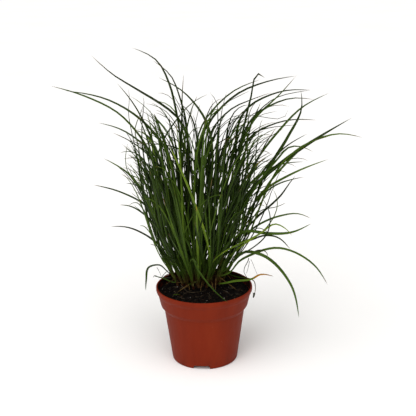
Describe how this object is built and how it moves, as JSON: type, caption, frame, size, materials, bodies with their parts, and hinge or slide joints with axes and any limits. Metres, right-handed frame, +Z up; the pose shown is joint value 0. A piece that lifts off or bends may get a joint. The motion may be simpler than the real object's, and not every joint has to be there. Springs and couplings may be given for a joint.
{
  "type": "potted ornamental grass clump",
  "caption": "Clump of narrow arching green grass leaves on rolled shoots, rooted in dark peat in a round tapered terracotta-coloured plastic nursery pot.",
  "frame": {"origin": "the pot's vertical axis, at the level of its foot ring", "axes": "+Z up along the pot's axis, -Y towards the front of the clump, +X to the right seen from the front"},
  "size_m": [0.371, 0.244, 0.388],
  "materials": {
    "pot": "moulded satin polypropylene, terracotta colour",
    "soil": "crumbly moist peat with fibres and pale grains",
    "grass": "ribbed green leaf blade with a dull sheen"
  },
  "bodies": {
    "root": {"pot": "pot", "soil": "soil", "shoot_01": "grass", "shoot_02": "grass", "shoot_03": "grass", "shoot_04": "grass", "shoot_05": "grass", "shoot_06": "grass", "shoot_07": "grass", "shoot_08": "grass", "shoot_09": "grass", "shoot_10": "grass", "shoot_11": "grass", "shoot_12": "grass", "shoot_13": "grass", "shoot_14": "grass", "shoot_15": "grass", "shoot_16": "grass", "shoot_17": "grass", "shoot_18": "grass", "shoot_19": "grass", "shoot_20": "grass", "shoot_21": "grass", "shoot_22": "grass", "shoot_23": "grass", "shoot_24": "grass", "shoot_25": "grass", "shoot_26": "grass", "shoot_27": "grass", "shoot_28": "grass", "shoot_29": "grass", "shoot_30": "grass", "shoot_31": "grass", "shoot_32": "grass", "shoot_33": "grass", "shoot_34": "grass", "shoot_35": "grass", "shoot_36": "grass", "shoot_37": "grass", "shoot_38": "grass", "shoot_39": "grass", "shoot_40": "grass", "shoot_41": "grass", "shoot_42": "grass", "shoot_43": "grass", "shoot_44": "grass", "shoot_45": "grass", "shoot_46": "grass", "shoot_47": "grass", "shoot_48": "grass", "shoot_49": "grass", "shoot_50": "grass", "short_blade": "grass"}
  },
  "joints": []
}
